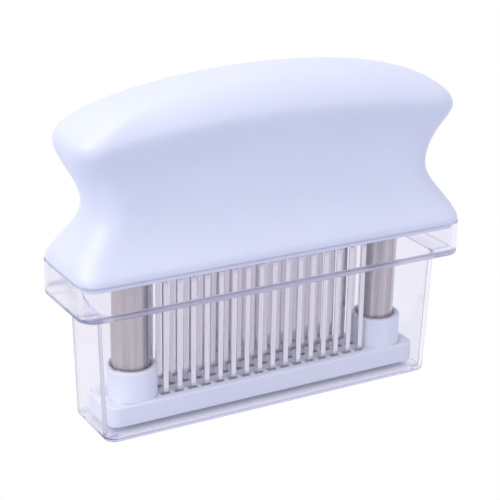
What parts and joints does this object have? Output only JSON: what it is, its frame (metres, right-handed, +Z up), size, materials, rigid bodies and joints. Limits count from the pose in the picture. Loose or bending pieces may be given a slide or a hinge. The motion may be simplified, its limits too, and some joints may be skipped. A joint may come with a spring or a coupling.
{
  "type": "blade meat tenderizer",
  "caption": "Hand-held blade meat tenderizer: an arched hollow grip over rows of flat steel blades, a sprung slotted foot on two steel columns, and a clear storage case.",
  "frame": {"origin": "middle of the storage case's flat underside", "axes": "+X along the tool, +Y towards its back, +Z up towards the grip"},
  "size_m": [0.146, 0.037, 0.1182],
  "materials": {
    "clear_plastic": "clear, polished",
    "handle_plastic": "satin, moulded",
    "white_plastic": "satin, moulded",
    "blade_steel": "polished",
    "column_steel": "fine brushed along its length",
    "clamp_steel": "machined",
    "spring_steel": "drawn wire",
    "screw_steel": "bright plated",
    "bush_plastic": "natural nylon",
    "bumper_rubber": "matte"
  },
  "bodies": {
    "case": {"storage_case": "clear_plastic"},
    "handle": {"handle_shell": "handle_plastic", "blade_head": "white_plastic", "blade_clamp": "clamp_steel", "front_blades": "blade_steel", "middle_blades": "blade_steel", "rear_blades": "blade_steel", "clamp_screws": "screw_steel", "handle_screws": "screw_steel", "left_guide_bush": "bush_plastic", "left_stop_bumper": "bumper_rubber", "left_spring_post": "bush_plastic", "left_column_spring": "spring_steel", "right_guide_bush": "bush_plastic", "right_stop_bumper": "bumper_rubber", "right_spring_post": "bush_plastic", "right_column_spring": "spring_steel"},
    "foot": {"foot_plate": "white_plastic", "column_screws": "screw_steel", "left_column_tube": "column_steel", "left_column_plug": "clamp_steel", "left_stop_collar": "clamp_steel", "right_column_tube": "column_steel", "right_column_plug": "clamp_steel", "right_stop_collar": "clamp_steel"}
  },
  "joints": [
    {"name": "handle_lift", "type": "slide", "parent": "case", "child": "handle", "axis": [0, 0, 1], "range_m": [0, 0.065]},
    {"name": "foot_slide", "type": "slide", "parent": "handle", "child": "foot", "axis": [0, 0, 1], "range_m": [0, 0.03], "stiffness_N_per_m": 600, "springref_m": -0.01, "deforming": ["left_column_spring", "right_column_spring"]}
  ]
}
